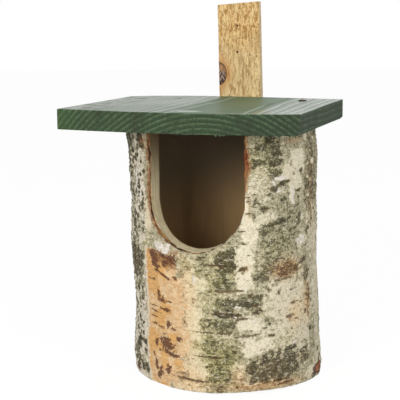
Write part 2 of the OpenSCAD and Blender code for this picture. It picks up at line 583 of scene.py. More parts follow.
outerBark = {
    "columns": 404,
    "rows": 211,
    "hiddenShare": 0.54,  # of the hidden side's faces that is left
    # how far it is torn back from the entrance, in mm: all round, more at the upper left, more at the right
    "tornBack": (0.5, 0.9, 2.4),
    # a shade for each level of what has grown over it
    "levels": (0.0, 0.22, 0.4, 0.58, 0.76, 1.0),
    "grey": ("eae0c8", "d3c8ac", "b6ad8f", "948d6e", "645e45", "373226"),
    "green": ("eadeb8", "d4c79b", "b7ad7e", "8f885a", "635e3c", "353220"),
    "brownish": ("ecd5ac", "dcbe90", "c0a074", "a07c52", "725436", "3e2c1e"),
    # the peeled strip's edges and its top: directions at some heights
    "peelRight": (
        [0, 8, 20, 32, 45, 60, 70, 85, 105, 118], [-112, -107, -101, -98, -96, -99, -98, -99, -104, -118]),
    "peelLeft": ([0, 25, 60, 100, 118], [-129, -132, -132, -132, -130]),
    "peelTop": 111,
    # rust round the floor screws: direction, how narrow, how far, its shade
    "screwRust": [(-3, 0.13, 4.8, "aa6434"), (128, 0.6, 4.2, "765644"), (212, 0.6, 4.2, "765644")],
    "screwPocket": (4, 0.8),  # the hollow round a screw: half its width and its depth
    # how far each thing stands out or lies in, in mm
    "relief": {"bumps": 0.6, "grit": 0.2, "crustGrit": 0.45, "crust": 0.25, "peel": -0.7, "scab": 0.5,
               "chip": 0.35, "lip": 0.35, "slit": -1.2, "rim": 0.4, "sawnEnd": -0.4},
    # made-up spots for the sides and the back: how many, and for patches how wide and how tall too
    "otherSlits": 70,
    "otherPatches": ((34, 20, 14), (60, 10, 6), (130, 4.5, 2.2)),
    "spotsBesidePeel": 300,
    "spotsAtRight": 110,
    "curls": 30,
    # spots: a direction in degrees, a height, a half width and a half height in mm, and a tilt in degrees,
    # then what has grown there from 0 to 1; those that fade out have a strength in place of the tilt
    "scabs": [
        (-122, 104, 4.4, 4, 20), (-120.5, 98.5, 2.6, 3.6, -40), (-114.5, 93.2, 7, 0.9, -26),
        (-110.5, 90.6, 1.8, 1.1, 0), (-107, 107, 4.4, 3.4, 10), (-113, 104, 3, 3, 0),
        (-125, 88.5, 5.5, 0.5, 0), (-105, 92.5, 2, 1.4, 0), (-119.6, 77.5, 1.7, 4.2, 6),
        (-116.5, 72.4, 4.6, 2, 0), (-109.5, 72, 1.8, 0.7, 0), (-124, 66, 5, 0.5, 0),
        (-116, 65, 3, 0.8, -10), (-111.2, 64.4, 4, 1.8, -15), (-124, 61.5, 5.5, 0.5, -4),
        (-126, 57, 5, 0.5, 0), (-125.5, 50.6, 4, 0.9, 0), (-118, 49.6, 5, 0.5, -4),
        (-111.5, 53.5, 2.2, 2.8, -20), (-108, 50, 3, 0.9, -14), (-123, 35.4, 2.8, 2.8, 0),
        (-118.6, 38, 0.8, 2.4, 0), (-120, 30, 0.9, 1.2, 0), (-112.5, 36.5, 7.4, 5, -25),
        (-110.5, 29, 9, 1.8, -8), (-103.6, 42.4, 2.6, 1.5, 0), (-125.4, 25.4, 1.4, 2.6, 20),
        (-123.4, 16.5, 1.8, 4, 10), (-119.8, 10.6, 2.4, 5, -38), (-112.4, 15, 2.4, 3.6, 0),
        (-118, 16, 0.8, 1.4, 0), (-124, 110, 4, 2.4, 10), (-114, 109.5, 3, 1.8, -15), (-9, 7, 1.2, 4, 0),
        (-3, 1.6, 5, 1.4, 0)],
    "chips": [
        (-117, 117, 6, 3.4, -20), (-112.5, 114, 5, 2.6, 0), (-110, 118, 3.4, 1.6, 30),
        (-39, 173.5, 4.6, 2, 5), (-44, 170, 1.2, 2.4, 30), (-40, 163, 4, 0.8, 15), (-29, 157, 1.8, 6, 6),
        (-26, 121, 3, 1.2, 10), (-21, 121, 3.4, 3.4, 20), (-140, 168, 1.6, 8, 0), (-135, 158, 1.8, 7, -12),
        (-136, 186, 1.4, 4, 0), (-92, 94, 0.9, 3, 0), (-136, 44, 1.4, 7, 0), (-31, 38, 3, 0.8, 15)],
    "rust": [
        (-119, 108, 14, 7, 0.7), (-108, 102, 8, 5, 0.6), (-122, 110, 9, 3, 0.7), (-112, 107, 8, 4, 0.6),
        (-32, 98, 13, 5, 0.26), (-22, 103.5, 5, 2, 0.42), (-58, 5, 20, 3, 0.5), (-40, 5, 10, 2, 0.6),
        (-98, 5, 14, 4, 0.45), (-80.5, 31, 4, 1.4, 0.7), (-34, 59, 5, 3, 0.6), (-30, 70, 5, 2, 0.4),
        (-30, 203, 10, 3, 0.4), (-65.5, 85.6, 2.4, 1.4, 0.8), (-67, 13, 6, 1.8, 0.7),
        (-104, 114, 6, 3, 0.5), (-15, 72, 4, 14, 0.3), (-74, 113, 8, 4, 0.25), (-130, 202, 5, 7, 0.5),
        (-126, 170, 3, 30, 0.4), (-75, 50, 3, 2, 0.5), (-59, 160, 2, 4, 0.25)],
    "growth": [
        (-94, 60, 8, 52, 0, 0.14), (-25, 160, 50, 62, 0, 0.45), (-35, 60, 36, 36, 0, 0.24),
        (-5, 168, 14, 44, 0, 0.65), (2, 60, 17, 60, 0, 0.28), (-3, 130, 13, 20, 0, 0.36),
        (-3, 117, 12, 13, 0, 0.26), (-62, 150, 3, 16, 0, 0.04), (-15, 72, 3, 18, 0, 0.58),
        (-54, 168, 9, 13, 0, 0.3), (-44, 196, 9, 7, 0, 0.66), (-54, 195, 6, 4, 0, 0.5),
        (-26, 202, 10, 3, 5, 0.5), (-46, 205, 6, 4, 0, 0.92), (-52.5, 199, 4, 2.2, 0, 0.84),
        (-41.5, 193, 3.6, 1.3, 0, 0.9), (-53, 187, 6, 3, 0, 0.76), (-42, 185.5, 7, 3, 0, 0.82),
        (-57.5, 183, 3, 1, 0, 0.84), (-42, 178, 7.5, 3.4, 0, 0.68), (-24, 188, 10, 9, 0, 0.05),
        (-33, 176, 7, 8, 10, 0.14), (-26, 170, 7, 9, 0, 0.1), (-30, 158, 4, 9, 0, 0.1),
        (-52, 143, 10, 6, 0, 0.26), (-36, 169.5, 8, 1.8, 12, 0.94), (-44, 165, 3.2, 2.2, 0, 0.86),
        (-46.5, 161, 2, 1.2, 0, 0.86), (-37.5, 155.5, 3, 2.6, 0, 0.82), (-33, 160, 1.6, 1.6, 0, 0.7),
        (-24, 156, 1.2, 1.4, 0, 0.85), (-51, 149.5, 3.4, 3.2, 0, 0.66), (-55.5, 156, 2, 2.6, 0, 0.66),
        (-57, 144, 1.6, 2.6, 0, 0.8), (-59, 130, 7, 14, 0, 0.06), (-30, 140, 12, 14, 0, 0.56),
        (-41, 121, 18, 16, 0, 0.57), (-52, 132, 3, 4, 0, 0.74), (-37, 139.5, 8, 2.2, 10, 0.88),
        (-48, 136.5, 6, 1.2, 8, 0.82), (-46.5, 124, 2.4, 1.4, 0, 0.9), (-13, 128, 3, 3, 0, 0.86),
        (-22, 121, 8, 4.5, 10, 0.2), (-63, 122, 2.6, 2, -20, 0.78), (-64, 102, 8, 18, 0, 0.04),
        (-63, 103, 4.4, 2.4, 0, 0.82), (-54, 95, 6, 4, 0, 0.72), (-41, 104, 17, 7, 3, 0.66),
        (-34, 98, 13, 5, 6, 0.72), (-22, 103.4, 6, 1.6, 14, 0.94), (-17, 91, 4.5, 7, 0, 0.66),
        (-38, 76, 18, 13, 0, 0.2), (-60, 76, 11, 7, 0, 0.55), (-66, 77, 4, 3, 0, 0.72),
        (-56, 80, 6, 1.8, 3, 0.9), (-61, 74, 8, 2, 0, 0.88), (-56, 67, 4, 2.2, 10, 0.88),
        (-60, 57, 12, 5, 0, 0.05), (-50, 60, 4, 4, 0, 0.5), (-49, 57, 1.6, 1.4, 0, 0.84),
        (-58, 39, 14, 7, 8, 0.05), (-48, 47.5, 3, 1.4, -10, 0.84), (-40, 43, 10, 5, 0, 0.32),
        (-71, 34, 7, 9, 0, 0.62), (-46, 20.5, 25, 13, 7, 0.81), (-49.5, 20, 0.8, 12, 0, 0.62),
        (-34, 34.5, 7, 1.8, 8, 0.97), (-22, 29.5, 6, 1.6, 14, 0.87), (-21, 21, 7, 5, 0, 0.66),
        (-20, 44, 9, 10, 0, 0.2), (-9, 40, 6, 16, 0, 0.52), (-13, 7, 12, 5, 0, 0.22),
        (-68, 21, 5, 8, 0, 0.3), (-54, 3, 24, 3.4, 0, 0.4), (-85, 105, 9, 11, 0, 0.52),
        (-97, 106, 6, 6, 0, 0.42), (-74, 108, 8.5, 11.5, 0, 0.84), (-74, 91, 8, 6.5, 0, 0.68),
        (-88, 90, 6, 5, 0, 0.18), (-90, 76, 6, 6, 0, 0.34), (-94, 56, 6, 4.5, 0, 0.05),
        (-85, 57, 5, 5, 0, 0.52), (-77, 73, 5, 7, 0, 0.62), (-72, 74, 5, 6, 0, 0.74),
        (-76, 58, 9, 6, 0, 0.68), (-73, 66, 9, 2.4, 0, 0.9), (-82, 40, 9, 8, 0, 0.6),
        (-93, 40, 5, 4, 0, 0.4), (-94, 20, 14, 8, 0, 0.14), (-78, 15, 8, 15, 0, 0.62),
        (-101, 14.5, 4, 2, 0, 0.6), (-84, 24, 4.5, 1.4, 20, 0.6), (-100, 4, 16, 4.5, 0, 0.15),
        (-101, 66, 5, 4, 0, 0.36), (-147, 102, 15, 11, 0, 0.88), (-141, 75, 10, 14, 0, 0.52),
        (-141, 42, 12, 20, 0, 0.28), (-135, 31.5, 6, 2.4, 0, 0.92), (-149, 24, 9, 11, 0, 0.72),
        (-135, 11, 6, 4.5, 0, 0.8), (-140, 2, 12, 3, 0, 0.15), (-160, 200, 9, 7, 0, 0.86),
        (-145, 203, 8, 4, 0, 0.82), (-132, 199, 6, 6, 0, 0.92), (-136, 180, 10, 14, 0, 0.26),
        (-148, 160, 5, 30, 0, 0.45), (-136, 160, 8, 10, 0, 0.08), (-128, 138, 5, 13, 0, 0.08),
        (-145, 128, 9, 15, 0, 0.55), (-132, 115, 8, 5, 0, 0.42), (-142, 187, 2.4, 3, 0, 0.96),
        (-142, 158, 2.2, 2.4, 0, 0.94), (-133, 151, 1.4, 5, -20, 0.88), (-130, 176, 2, 3, 0, 0.88),
        (-137, 194, 2.4, 2.4, 0, 0.86), (-149, 178, 2, 4, 0, 0.86), (-139, 143, 2, 3.4, 0, 0.86),
        (-150, 150, 2, 5, 0, 0.8), (-144, 136, 2, 3, 0, 0.88)],
    "moss": [
        (-50, 192, 13, 14, 0.15), (-86, 84, 16, 34, 0.5), (-80, 18, 16, 24, 0.6), (-100, 104, 12, 10, 0.4),
        (-44, 116, 14, 14, 0.25), (-56, 188, 10, 12, 0.3), (-90, 40, 14, 20, 0.5), (-74, 100, 10, 16, 0.4),
        (-135, 80, 8, 40, 0.1), (-46, 205, 9, 4, 1), (-132, 116, 9, 6, 0.6), (-72, 32, 8, 12, 0.5),
        (-42, 178, 9, 5, 0.5), (-38, 43, 12, 6, 0.3)],
    "brown": [
        (-97, 84, 9, 24, 0.7), (-98, 40, 12, 40, 0.6), (-98, 10, 20, 10, 0.7), (-52, 5, 40, 5, 0.9),
        (-30, 62, 9, 14, 0.7), (-19, 66, 8, 20, 0.5), (-36, 100, 18, 9, 1.0), (-60, 150, 4, 15, 0.4),
        (-48, 20, 26, 13, 0.35), (-28, 202, 12, 3, 0.6), (-8, 160, 10, 40, 0.5), (-147, 102, 12, 9, 0.5),
        (-130, 200, 8, 7, 0.7), (-127, 140, 5, 18, 0.6), (-68, 16, 6, 8, 0.6), (-63, 103, 5, 3, 0.6),
        (-56, 67, 5, 3, 0.4), (-75, 108, 8, 8, 0.3), (-15, 72, 4, 18, 0.6), (-110, 112, 12, 4, 0.8),
        (-22, 24, 10, 8, 0.3)],
    "slits": [
        (-79, 106, 9, 0.8, 0), (-70, 105, 5, 0.7, 2), (-75, 85.2, 8, 1.2, 0), (-67.5, 85.6, 4.6, 0.9, -2),
        (-78, 66.6, 9, 0.9, 0), (-68, 66, 6, 0.8, 0), (-84, 50.6, 19, 0.5, -1), (-75, 50.6, 7, 0.9, 0),
        (-84, 31, 18, 0.5, 0), (-81, 31, 4, 0.9, 0), (-98, 10.4, 19, 0.8, -2), (-39, 91.6, 9, 0.8, 3),
        (-32, 81.8, 3.6, 0.8, 4), (-42, 81, 0.8, 1.8, 0), (-29.5, 70.8, 5, 1, 5), (-34, 60.4, 4.6, 1.5, 2),
        (-29, 57, 2, 0.7, 0), (-27, 175.6, 3, 0.7, 5), (-24, 161.4, 4, 0.9, 8), (-49, 150.4, 6, 0.6, 4),
        (-44, 136.8, 5, 0.7, 8), (-64, 133.4, 4, 0.5, 0), (-55, 201.6, 4, 0.6, 0), (-62, 193, 3, 0.6, 0),
        (-64, 62.4, 7, 0.9, 3), (-63, 48.4, 9.6, 0.9, 3), (-26.6, 118.6, 2.4, 0.8, 0),
        (-18.5, 114.8, 2.6, 0.7, 0), (-46, 8.4, 13, 0.6, 5), (-40, 5, 8, 1, 5), (-59.5, 160, 2, 0.7, 0),
        (-59.5, 156.6, 2, 0.6, 0), (-60, 147, 2.6, 0.6, 0), (-14, 92, 1.2, 4, 0), (-128, 88, 5, 0.5, 5),
        (-16, 73, 2, 0.6, 0), (-20, 36, 4, 0.6, 5), (-88, 112, 5, 0.6, 0), (-38, 187.6, 3, 0.8, 0),
        (-60, 81.4, 3.4, 0.9, 0), (-57, 72.6, 5, 1.1, -6), (-52, 54, 3, 0.6, 6)],
}


def otherSideSlits(seed):
    # slits for the sides and the back, in the style of those in front
    dice = random.Random(seed)
    return [(dice.uniform(8, 218), dice.uniform(6, 205), dice.uniform(1.6, 3.4) ** 1.8,
             dice.uniform(0.5, 1.1), dice.gauss(0, 4)) for _ in range(outerBark["otherSlits"])]


def otherSideGrowth(seed):
    # patches for the sides and the back, large ones first, and small spots beside the peeled strip
    dice = random.Random(seed)
    rows = []
    for count, wide, tall in outerBark["otherPatches"]:
        for _ in range(count):
            level = dice.choice((0.06, 0.2, 0.4, 0.55, 0.68, 0.8, 0.9))
            rows.append((dice.uniform(14, 202), dice.uniform(0, 211), wide * dice.uniform(0.5, 1.2),
                         tall * dice.uniform(0.5, 1.3), dice.gauss(0, 8), level))
    for _ in range(outerBark["spotsBesidePeel"]):
        height = dice.uniform(0, 205)
        level = dice.choice((0.0, 0.0, 0.1, 0.9, 1.05) if height < 150 else (0.0, 0.1, 0.9, 1.0, 1.1))
        rows.append((dice.uniform(-164, -133), height, dice.uniform(1.0, 3.4), dice.uniform(0.9, 2.6),
                     0, level))
    for _ in range(outerBark["spotsAtRight"]):
        rows.append((dice.uniform(-26, 14), dice.uniform(0, 205), dice.uniform(1.0, 3.2),
                     dice.uniform(0.7, 2.6), 0, dice.choice((0.0, 0.05, 0.15, 0.3, 0.8, 0.95))))
    rows += [(-147, 100, 13, 14, 0, 0.88), (-134, 205, 6, 8, 0, 0.95), (-152, 202, 8, 8, 0, 0.9)]
    return rows


def curls(seed):
    # little pale strokes where the skin has curled up among the dark growth
    dice = random.Random(seed)
    rows = []
    for _ in range(outerBark["curls"]):
        angle, height = dice.choice(((-70, 72), (-66, 80), (-45, 168), (-40, 100), (-145, 60), (-145, 150)))
        rows.append((dice.gauss(angle, 7), dice.gauss(height, 10), dice.uniform(0.8, 2.2),
                     dice.uniform(0.4, 0.7), dice.gauss(10, 40)))
    return rows


def tornAt(side, x, z):
    # 1 where the bark is torn along one side of the entrance
    across, upwards = entrance[side]
    return step(*across, x) * step(*upwards, z)


def barkSetBack(x, z):
    # how far the outer bark is torn back from the entrance
    left = tornAt("tornLeft", x, z)
    middle, tall = entrance["notch"]
    right = step(*entrance["tornRight"][0], x) * np.exp(-((z - middle) / tall) ** 2)
    points = stacked(x, 0, z) / mm
    uneven = 0.7 * fuzz(points, 5, 1) + 0.5 * fuzz(points, 1.8, 2, 2)
    allRound, moreLeft, moreRight = outerBark["tornBack"]
    torn = allRound + moreLeft * left + moreRight * right
    return (torn + uneven * (0.5 + 0.4 * left + 0.5 * right)) * mm


def buildOuterBark():
    piece, angle, height = wrapSheet("outerBark", outerBark["columns"], outerBark["rows"], 0, barkSetBack)
    points = around(angle, log["noiseRadius"], height / mm)
    broad, middling = fuzz(points, 30, 3), fuzz(points, 8, 4, 4)
    fine = fuzz(points, 2.6, 5, 4)
    degrees = np.degrees(angle)
    high = height / mm
    front = step(20, 0, degrees) * step(-165, -150, degrees)

    # the strip that has peeled off, and the spots
    left = np.interp(high, *outerBark["peelLeft"]) + 1.0 * fine
    right = np.interp(high, *outerBark["peelRight"]) + 6 * middling + 3 * fine
    below = outerBark["peelTop"] + 5 * middling - high
    inside = np.minimum(np.minimum(degrees - left, (right - degrees) * 0.5), below)
    peel = np.clip(0.5 + inside * 0.14, 0, 1)
    scab = outlined(angle, height, outerBark["scabs"]) + 0.05
    chip = outlined(angle, height, outerBark["chips"] + curls(seed=6))
    slitRows = outerBark["slits"] + otherSideSlits(seed=8)
    slit = outlined(angle, height, slitRows)
    lips = outlined(angle, height, [(a, h, w + 1, t + 1.2, tilt) for a, h, w, t, tilt in slitRows])
    shape = 0.26 * middling + 0.2 * fine
    growth = painted(angle, height, outerBark["growth"], 0.42 + 0.1 * broad, shape)
    growth = painted(angle, height, otherSideGrowth(seed=5), growth, shape)
    behind = 0.6 * (1 - front)
    moss, brown, rust = [
        softened(angle, height, outerBark[name]) * front for name in ("moss", "brown", "rust")]
    moss = 0.15 + moss + step(0, 0.6, fuzz(points, 28, 9)) * behind
    brown = brown + step(0.1, 0.7, fuzz(points, 34, 17)) * behind

    # rust where the entrance's rim is torn
    x = logRadius(angle, height) * np.cos(angle) + leanShift(height)
    rimWidth = (entranceGap(x, height) - barkSetBack(x, height)) / mm
    rim = np.where(np.sin(angle) < 0, step(4, 0, rimWidth), 0)
    torn = np.maximum(step(-20 * mm, -34 * mm, x), tornAt("tornRight", x, height))
    rust = np.maximum(rust, rim * (0.15 + 0.55 * torn) + 0.3 * rim * fine)

    bare = 1 - step(0.4, 0.6, peel)
    crust = step(0.3, 0.6, growth + 0.2 * fine) * bare
    far = outerBark["relief"]
    relief = far["bumps"] * middling + (far["grit"] + far["crustGrit"] * crust) * fine * (0.25 + 0.75 * bare)
    relief = relief + far["crust"] * crust + far["peel"] * (1 - bare)
    relief = relief + far["scab"] * step(0.35, 0.6, scab) + far["chip"] * step(0.4, 0.55, chip)
    cuts = far["lip"] * step(0.3, 0.6, lips) + far["slit"] * step(0.35, 0.65, slit)
    relief = relief + cuts * (0.3 + 0.7 * bare) + far["rim"] * rim * fine
    half, deep = outerBark["screwPocket"]
    for toward in floorScrews.values():
        pocket = layOut(angle, height, (toward, floorScrewHeight / mm, half, half, 0))
        relief = relief - deep * step(1.15, 0.85, pocket)
    # the bark is a little rounded off where the log is sawn
    ends = np.maximum(step(2.5, 0, high), step(logHeight / mm - 2.5, logHeight / mm, high))
    relief = relief + far["sawnEnd"] * ends * (1 + 1.5 * np.abs(fine))
    rollOut(piece, angle, height, logRadius(angle, height) + relief * mm)
    keep(piece, peel=peel, scab=scab, rust=rust, chip=chip, slit=slit, growth=growth, moss=moss, brown=brown)
    closeSheet(piece, log["outerBark"], outerBark["hiddenShare"])
    return piece


def screwRust(where, z, base, crumb, mottled):
    # rust that has spread over the bark from the floor screws
    for toward, narrow, reach, rust in outerBark["screwRust"]:
        turn, height = math.radians(toward), floorScrewHeight - 2 * mm
        out, aside = (math.cos(turn), math.sin(turn), 0), (-math.sin(turn), math.cos(turn), 0)
        sideways = minus(alongOf(where, aside), leanShift(height) * aside[0])
        onSide = fade(alongOf(where, out), 50 * mm, 55 * mm)
        away = distanceOf(times(sideways, narrow ** 0.5), minus(z, height))
        away = stirred(away, mottled, 4 * mm)
        dark, flecks = fade(away, 2.2 * mm, 3.2 * mm), fade(crumb, 0.5, 0.62, 0.6)
        ring = layered(rust, (dark, "583a2a"), (flecks, "603c26"))
        near = fade(away, reach * mm, (reach - 0.8) * mm, 0.95)
        base = blend(times(onSide, near), base, ring)
    return base


def barkMaterial():
    material, tree, shader, where = newMaterial("birchBark")
    x, y, z = partsOf(where)
    patch = speckle(where, 14, detail=3)
    streak = speckle(where, 4, detail=5, rough=0.65, scale=(1, 1, 5))
    mottled = speckle(where, 2.6, detail=5, rough=0.72, location=(5, 2, 1), scale=(1, 1, 1.7))
    crumb = speckle(where, 1.3, detail=3, rough=0.7)
    grain = speckle(where, 0.7, detail=2, rough=0.6)
    growth = valueOf(tree, "growth")

    shaken = stirred(times(minus(mottled, 0.5), 0.95), crumb, 1.0)
    level = timesPlus(shaken, spread(x, -50 * mm, -64 * mm, 1.0, 1.8), growth)
    level = stirred(level, streak, 0.45)
    # partly in flat patches with crisp borders
    flat = plus(spread(level, 0.3, 0.37, 0.12, 0.46), fade(level, 0.56, 0.63, 0.36))
    level = timesPlus(level, 0.55, times(flat, 0.45))
    level = stirred(level, grain, 0.85, clamp=True)
    tones = (outerBark["grey"], outerBark["green"], outerBark["brownish"])
    grey, green, brown = [toneOf(level, outerBark["levels"], shades) for shades in tones]
    pink = times(fade(level, 0.5, 0.2, 0.45), fade(x, -48 * mm, -56 * mm))
    base = layered(
        grey, (fade(valueOf(tree, "moss"), 0.0, 1.0), green),
        (fade(valueOf(tree, "brown"), 0.0, 1.0), brown), (pink, "e8dbce"))
    # short dark strokes, and pale ones where the skin has lifted
    for size, flat, shift, cover, strength in ((3.2, 4, 1, 0.66, 0.75), (1.7, 2.6, 9, 0.645, 0.6)):
        stroke = speckle(where, size, detail=3, rough=0.7, location=(shift, 5, 3), scale=(1, 1, flat))
        stroke = fade(timesPlus(growth, 0.07, stroke), cover, cover + 0.035)
        lifted = speckle(where, size, detail=3, rough=0.7, location=(shift, 2, 8), scale=(1, 1, flat * 0.7))
        lifted = times(fade(lifted, cover - 0.05, cover - 0.01), spread(growth, 0.2, 0.7, 0.25, 0.55))
        base = layered(base, (times(stroke, strength), "4c422e"), (lifted, "e4dbc2"))

    # the peeled strip
    crazed = fade(crazing(place(where, scale=(1, 1, 2.2)), 9, 3, 5), 0.05, 0.015)
    crazed = times(crazed, fade(patch, 0.46, 0.56))
    tan = layered(
        "d8ae7c", (fade(mottled, 0.36, 0.62), "eed0a4"), (fade(patch, 0.48, 0.54, 0.75), "e4ae62"),
        (fade(streak, 0.52, 0.66, 0.45), "bc8856"), (fade(grain, 0.6, 0.72, 0.4), "96623a"),
        (times(crazed, 0.45), "96603a"))
    peel = stirred(valueOf(tree, "peel"), mottled, 1.0)
    lip = times(fade(peel, 0.3, 0.38), fade(x, -38 * mm, -46 * mm, 0.8))
    base = layered(base, (lip, "e8dcca"), (fade(peel, 0.45, 0.55), tan))

    redBrown = blend(fade(crumb, 0.35, 0.65), "6c462a", "be8a58")
    shifted = place(where, location=(7, 2, 3))
    rusty = useGroup(mottle, Vector=shifted, Scale=300.0, Cover=valueOf(tree, "rust"), Soft=0.12)["Mask"]
    base = screwRust(where, z, blend(times(rusty, 0.8), base, redBrown), crumb, mottled)

    # chips, scabs and slits
    broken = stirred(mottled, crumb, 1.2)
    chipped = ragged(valueOf(tree, "chip"), broken, 1.1, 0.06)
    scabby = ragged(valueOf(tree, "scab"), broken, 1.5, 0.06)
    split = ragged(valueOf(tree, "slit"), broken, 1.3, 0.12)
    base = layered(
        base, (chipped, blend(fade(crumb, 0.35, 0.6), "d0c4b4", "f3eade")),
        (times(scabby, 0.92), blend(fade(grain, 0.4, 0.62), "462618", "7a4c32")),
        (times(split, 0.8), blend(fade(crumb, 0.4, 0.62), "403424", "786042")))
    relief = timesPlus(level, -0.9, times(growth, 1.1))
    for mask, rise in ((crumb, 0.7), (split, -0.5), (scabby, 0.4), (chipped, 0.3)):
        relief = timesPlus(mask, rise, relief)
    dress(shader, base, spread(level, 0.2, 0.6, 0.65, 0.95), relief, 0.9 * mm, 0.9)
    return material


barkPiece = buildOuterBark()
finishPiece(barkPiece, barkMaterial(), "outer_bark", "outer_bark")
print("outer bark", len(barkPiece.data.polygons))

innerBark = {
    "columns": 300,
    "rows": 150,
    "hiddenShare": 0.56,
    "hiddenDepth": 0.7 * mm,  # how far it reaches into the wood
    "tornBack": (0.3, 1.5),  # all round, and more at the upper left, in mm
    "red": [(-61, 190, 10, 11, 1), (-120, 202, 8, 4, 0.7)],
}


def innerSetBack(x, z):
    allRound, moreLeft = innerBark["tornBack"]
    points = stacked(x, 9.0, z) / mm
    uneven = 0.4 * fuzz(points, 3, 11) + 0.25 * fuzz(points, 1.2, 12, 2)
    return mm * (allRound + uneven + tornAt("tornLeft", x, z) * (moreLeft + 0.5 * uneven))


def buildInnerBark():
    columns, rows = innerBark["columns"], innerBark["rows"]
    piece, angle, height = wrapSheet("innerBark", columns, rows, log["outerBark"], innerSetBack)
    points = around(angle, log["noiseRadius"], height / mm)
    relief = 0.35 * fuzz(points, 4, 13, 4) + 0.25 * fuzz(points, 1.6, 14, 2) - 0.5
    relief = relief + 0.4 * step(0.8, 0.92, np.sin(angle))
    rollOut(piece, angle, height, logRadius(angle, height) - log["outerBark"] + relief * mm)
    keep(piece, red=softened(angle, height, innerBark["red"]))
    closeSheet(piece, log["innerBark"] + innerBark["hiddenDepth"], innerBark["hiddenShare"])
    return piece


def innerBarkMaterial():
    material, tree, shader, where = newMaterial("rustBark")
    crumb = speckle(where, 1.4, detail=5, rough=0.7)
    patch = speckle(where, 7, detail=3, scale=(1, 1, 0.5))
    fleck = fade(crumb, 0.35, 0.65)
    base = layered(
        blend(fleck, "704c30", "ba8856"),
        (fade(patch, 0.5, 0.62), "aa8658"), (fade(patch, 0.45, 0.36), "4e3022"),
        (valueOf(tree, "red"), blend(fleck, "622a16", "a2502a")))
    dress(shader, base, 0.85, crumb, 0.6 * mm, 0.8)
    return material


finishPiece(buildInnerBark(), innerBarkMaterial(), "inner_bark", "inner_bark")
print("inner bark")

# the wall of the log, one closed tube with the entrance cut out of it

wall = {
    "columns": 300,
    # points up the bore, over the top, down the outside and back under the foot
    "rows": (110, 3, 24, 9),
    "play": 0.3 * mm,  # between the wood and the bark
    "cutterDeep": 44,
    "cutterFrom": -95 * mm,
    "cutterLength": 75 * mm,
    "cutterOver": 8 * mm,
}


def buildWall():
    corners = np.array([(0, 0), (0, 1), (1, 1), (1, 0), (0, 0)])
    stretches = zip(corners, corners[1:], wall["rows"])
    profile = [np.linspace(start, end, count, endpoint=False) for start, end, count in stretches]
    profile = np.concatenate([*profile, corners[:1]])
    piece, row, angle, out, share = newTube("logWall", wall["columns"], profile)
    angle = angle + math.pi / 2
    height = share * logHeight
    points = around(angle, 60, height / mm)
    gouge = 0.1 * fuzz(points, 6, 21, 2, along=8) + 0.06 * fuzz(points, 2, 22, 2, along=5)
    bore = log["bore"] + mm * np.maximum(gouge, -0.2)
    outside = logRadius(angle, height) - barkThickness - wall["play"]
    points = around(angle, bore + out * (outside - bore), liftFoot(angle, height, out))
    points[:, 0] += out * leanShift(height)
    setPoints(piece, points)
    mergeClose(piece)
    faceOutwards(piece)
    planeSeat(piece)
    return piece


def buildEntranceCutter():
    # the entrance as a plug, with the marks that the cutting left
    low, side, centre = entrance["arcHeight"], entrance["half"], entrance["centre"]
    over = logHeight + wall["cutterOver"]
    outline = [(centre - side, z) for z in np.linspace(over, low, 40, endpoint=False)]
    turn = np.linspace(math.pi, math.tau, 80)
    outline += [(centre + side * math.cos(a), low + side * math.sin(a)) for a in turn]
    outline += [(centre + side, z) for z in np.linspace(low, over, 41)[1:]]
    outline += [(centre + side * t, over) for t in np.linspace(1, -1, 12)[1:]]
    outline = np.array(outline)
    piece = newGrid("entranceCutter", len(outline) - 1, wall["cutterDeep"])
    flat = getPoints(piece)
    index = np.rint((flat[:, 0] + 0.5) * (len(outline) - 1)).astype(int)
    y = wall["cutterFrom"] + (flat[:, 1] + 0.5) * wall["cutterLength"]
    x, z = outline[index].T
    points = stacked(x, y, z) / mm
    marks = 0.3 * fuzz(points, 9, 31, 2) + 0.12 * fuzz(points, 2.5, 32, 2)
    aside, below = fromArc(x, z)
    scale = np.where(z < over - mm, 1 + marks * mm / (np.hypot(aside, below) + 1e-9), 1)
    setPoints(piece, stacked(centre + aside * scale, y, np.where(z < low, low + below * scale, z)))
    mergeClose(piece)
    openAll(piece, "EDGE")
    bpy.ops.mesh.fill_holes(sides=0)
    objectMode()
    faceOutwards(piece)
    return piece


def wallMaterial():
    material, tree, shader, where = newMaterial("birchWood")
    x, y, z = partsOf(where)
    grain = useGroup(woodGrain, Vector=where, Spacing=3.2 * mm, Wobble=4 * mm)
    along = speckle(where, 1.6, detail=4, rough=0.6, scale=(1, 1, 0.08))
    patch = speckle(where, 18, detail=3, scale=(1, 1, 0.4))
    soft = speckle(where, 8, detail=2, scale=(1, 1, 0.12))
    # painted shade: a level that rises upwards and to the left, where the bore lies in the roof's shade
    lit = timesPlus(x, -0.3, z)
    cut = layered(
        "ecd8aa", (fade(along, 0.35, 0.65), "fff4ce"),
        (fade(patch, 0.5, 0.66, 0.14), "a49a6c"),
        (times(grain["Line"], 0.14), "967a4c"),
        # painted shadow: the cut face is darker towards the top, as the shade under the roof
        (fade(z, 150 * mm, 206 * mm, 0.9), "725a3a"))
    old = layered(
        "a08158", (fade(soft, 0.35, 0.65), "ae8e62"),
        # painted shade: the bore's wall is darker higher up
        (fade(lit, 120 * mm, 190 * mm), "7c6b54"),
        (fade(along, 0.5, 0.7, 0.12), "745e42"))
    inside = fade(distanceOf(x, y), 61 * mm, 60.4 * mm)
    relief = plus(times(along, 0.6), times(grain["Fibre"], 0.3))
    relief = times(relief, timesPlus(inside, -0.7, 1.0))
    dress(shader, blend(inside, cut, old), 0.8, relief, 0.35 * mm, 0.5)
    return material


wallPiece = buildWall()
cutWith(wallPiece, buildEntranceCutter())
smooth(wallPiece, 35)
finishPiece(wallPiece, wallMaterial(), "log_wood", "log_wall")
print("wall", len(wallPiece.data.polygons))

# the roof board

